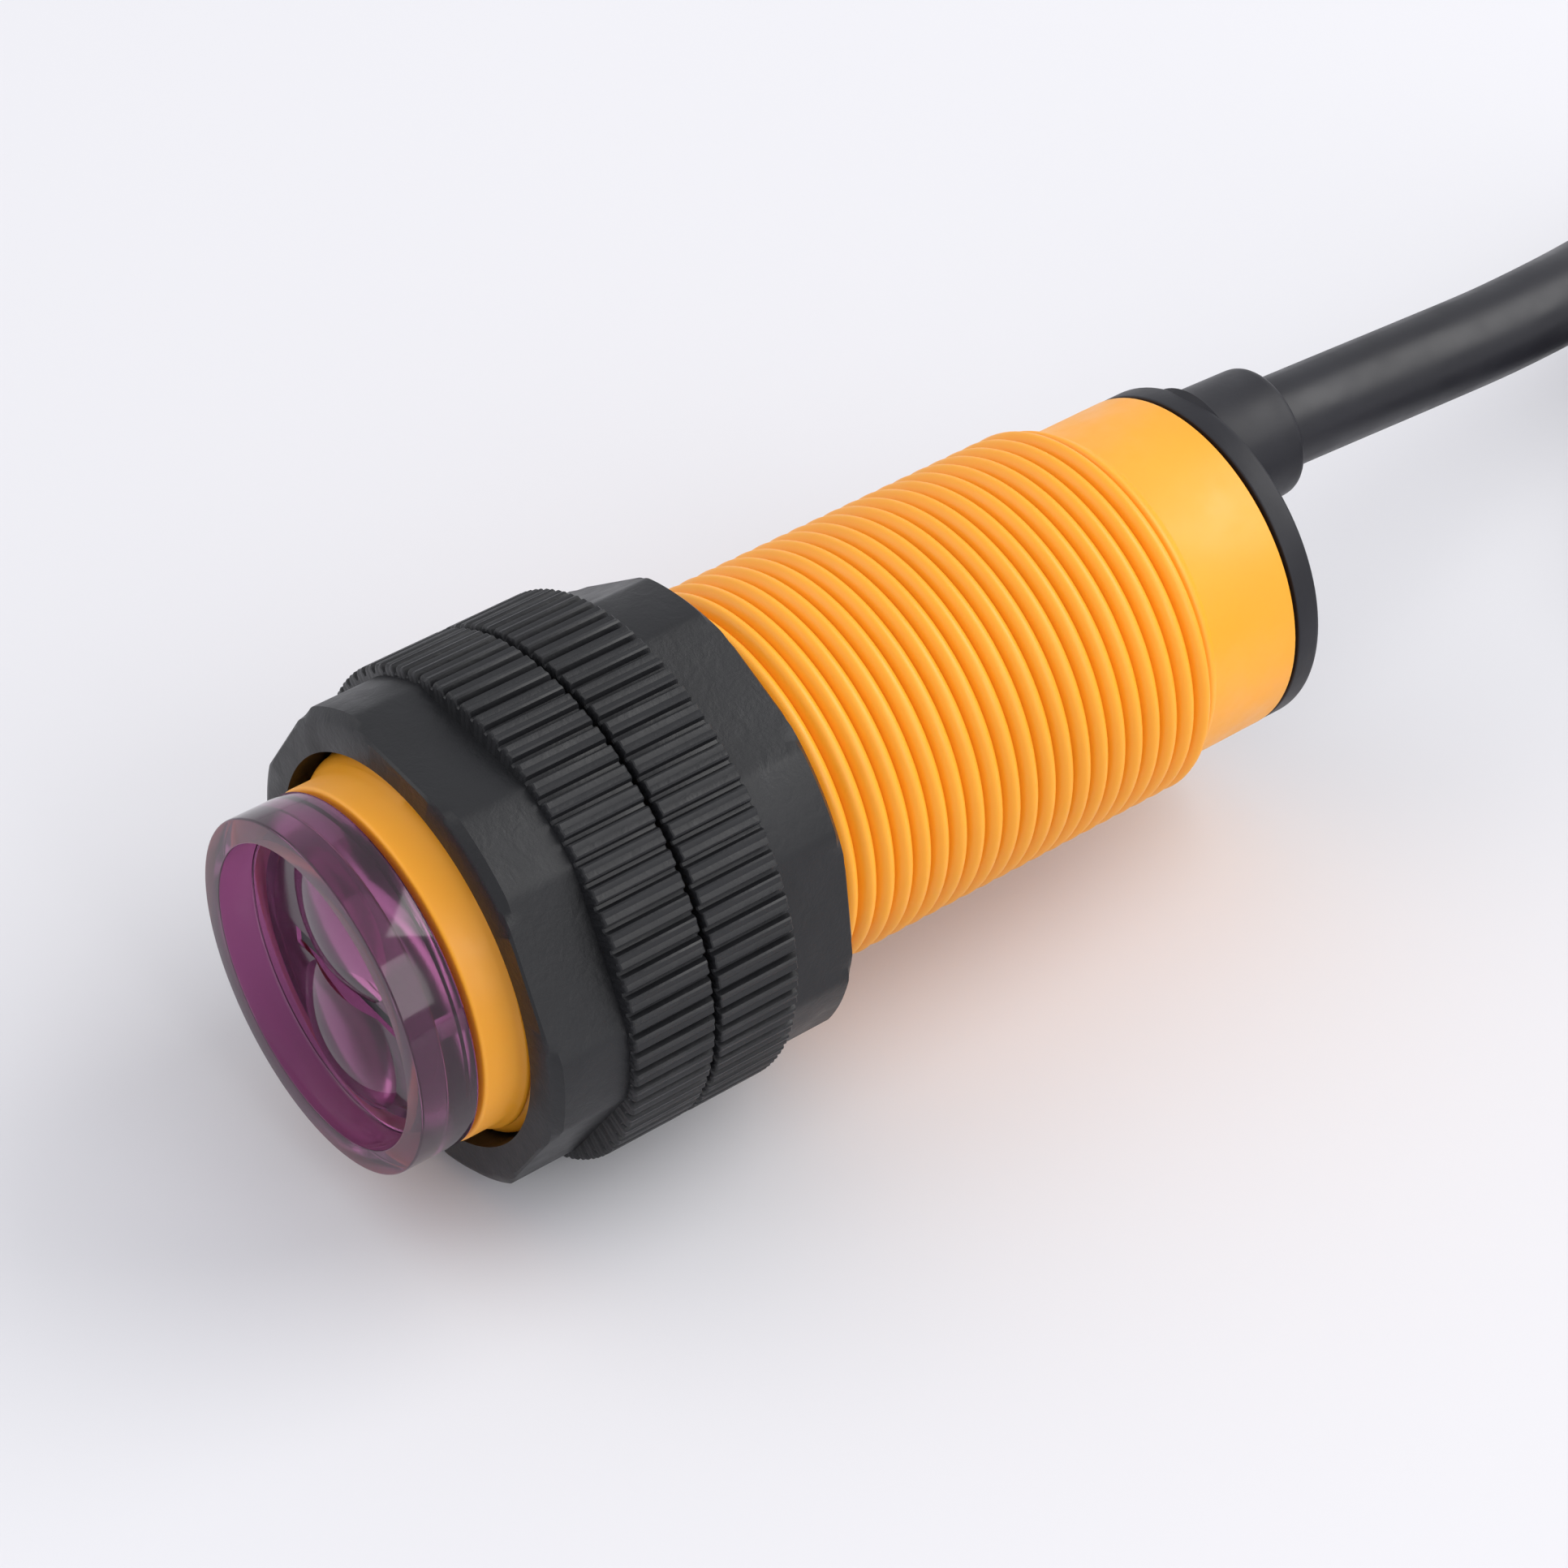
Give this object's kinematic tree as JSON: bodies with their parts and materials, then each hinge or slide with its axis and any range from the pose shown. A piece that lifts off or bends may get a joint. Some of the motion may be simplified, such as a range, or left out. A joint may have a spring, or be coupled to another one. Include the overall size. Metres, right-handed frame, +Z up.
{
  "type": "photoelectric sensor",
  "caption": "Cylindrical diffuse-reflective photoelectric sensor: threaded orange barrel, tinted lens cap, plastic barrel nuts and a coiled three-core cable.",
  "frame": {"origin": "on the resting plane, below the middle of the sensor's own box without its free cable", "axes": "+Y along the barrel, from the lens to the cable; +Z up, with the cable boss at the top; the two nut flanges rest on Z = 0"},
  "size_m": [0.0586, 0.1347, 0.0231],
  "materials": {
    "orange_abs": "moulded, satin",
    "purple_acrylic": "tinted, polished, lets infrared through",
    "black_nylon": "fine spark-eroded texture",
    "black_pvc": "satin cable jacket",
    "brown_pvc": "extruded core insulation",
    "blue_pvc": "extruded core insulation",
    "clear_epoxy": "water clear",
    "dark_epoxy": "daylight filtering",
    "red_epoxy": "diffused",
    "board_laminate": "solder mask on glass laminate",
    "chip_epoxy": "moulding compound",
    "chip_ceramic": "fired",
    "alumina": "fired",
    "aluminium_can": "drawn, bare",
    "trimmer_blue": "moulded",
    "brass": "turned",
    "tinned_copper": "tin-plated"
  },
  "bodies": {
    "housing": {"barrel": "orange_abs", "lens_cap": "purple_acrylic", "optics_holder": "black_nylon", "rear_cap": "black_nylon", "emitter_diode": "clear_epoxy", "receiver_diode": "dark_epoxy", "indicator_led": "red_epoxy", "circuit_board": "board_laminate", "modulator_chip": "chip_epoxy", "receiver_chip": "chip_epoxy", "voltage_regulator": "chip_epoxy", "output_transistor": "chip_epoxy", "filter_capacitor": "aluminium_can", "trimmer_case": "trimmer_blue", "trimmer_element": "alumina", "cable_jacket_end": "black_pvc", "supply_core": "brown_pvc", "output_core": "black_pvc", "ground_core": "blue_pvc", "cable": "black_pvc", "cable_coil": "black_pvc", "cable_tail": "black_pvc", "cable_tie": "black_nylon", "connector_housing": "black_nylon", "resistor_1": "alumina", "resistor_2": "alumina", "resistor_3": "alumina", "resistor_4": "alumina", "resistor_5": "alumina", "ceramic_capacitor_1": "chip_ceramic", "ceramic_capacitor_2": "chip_ceramic", "ceramic_capacitor_3": "chip_ceramic", "emitter_diode_anode_lead": "tinned_copper", "emitter_diode_cathode_lead": "tinned_copper", "receiver_diode_anode_lead": "tinned_copper", "receiver_diode_cathode_lead": "tinned_copper", "indicator_led_anode_lead": "tinned_copper", "indicator_led_cathode_lead": "tinned_copper", "supply_conductor": "brown_pvc", "supply_conductor_contact": "tinned_copper", "output_conductor": "black_pvc", "output_conductor_contact": "tinned_copper", "ground_conductor": "blue_pvc", "ground_conductor_contact": "tinned_copper"},
    "nut_in_front": {"front_nut": "black_nylon"},
    "nut_behind": {"rear_nut": "black_nylon"},
    "adjuster": {"trimmer_screw": "brass"},
    "wiper": {"trimmer_rotor": "alumina"}
  },
  "joints": [
    {"name": "front_nut_travel", "type": "slide", "parent": "housing", "child": "nut_in_front", "axis": [0, 1, 0], "range_m": [-0.0047, 0]},
    {"name": "rear_nut_travel", "type": "slide", "parent": "housing", "child": "nut_behind", "axis": [0, 1, 0], "range_m": [0, 0.0222]},
    {"name": "adjuster_turn", "type": "hinge", "parent": "housing", "child": "adjuster", "pos_m": [0.0019, 0.01335, 0.00837], "axis": [0, 1, 0], "range_deg": [0, 4320]},
    {"name": "wiper_turn", "type": "hinge", "parent": "housing", "child": "wiper", "pos_m": [-0.00105, 0.01325, 0.00837], "axis": [0, 0, 1], "range_deg": [0, 270]}
  ],
  "couplings": [
    {"joint": "wiper_turn", "follows": "adjuster_turn", "ratio": 0.0625}
  ]
}
